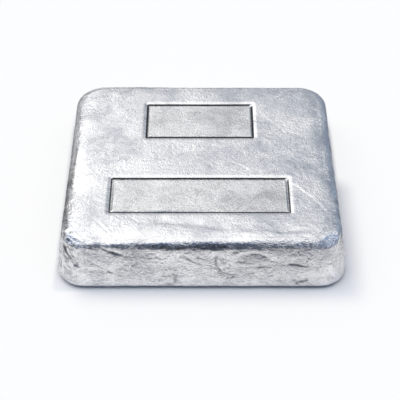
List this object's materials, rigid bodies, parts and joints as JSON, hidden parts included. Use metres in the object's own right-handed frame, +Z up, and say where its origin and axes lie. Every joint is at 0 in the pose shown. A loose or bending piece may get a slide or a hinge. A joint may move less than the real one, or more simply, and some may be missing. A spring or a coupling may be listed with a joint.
{
  "type": "tin ingot",
  "caption": "Cast tin ingot: a low rounded block with leaning walls, a soft top edge and blank pressed panels, standing on its poured face.",
  "frame": {"origin": "middle of the poured face that the ingot stands on", "axes": "+Z up, +X along the longer side, and the pressed panels read upright from -Y"},
  "size_m": [0.0952, 0.0864, 0.0184],
  "materials": {
    "tin": "satin"
  },
  "bodies": {
    "root": {"ingot": "tin"}
  },
  "joints": []
}
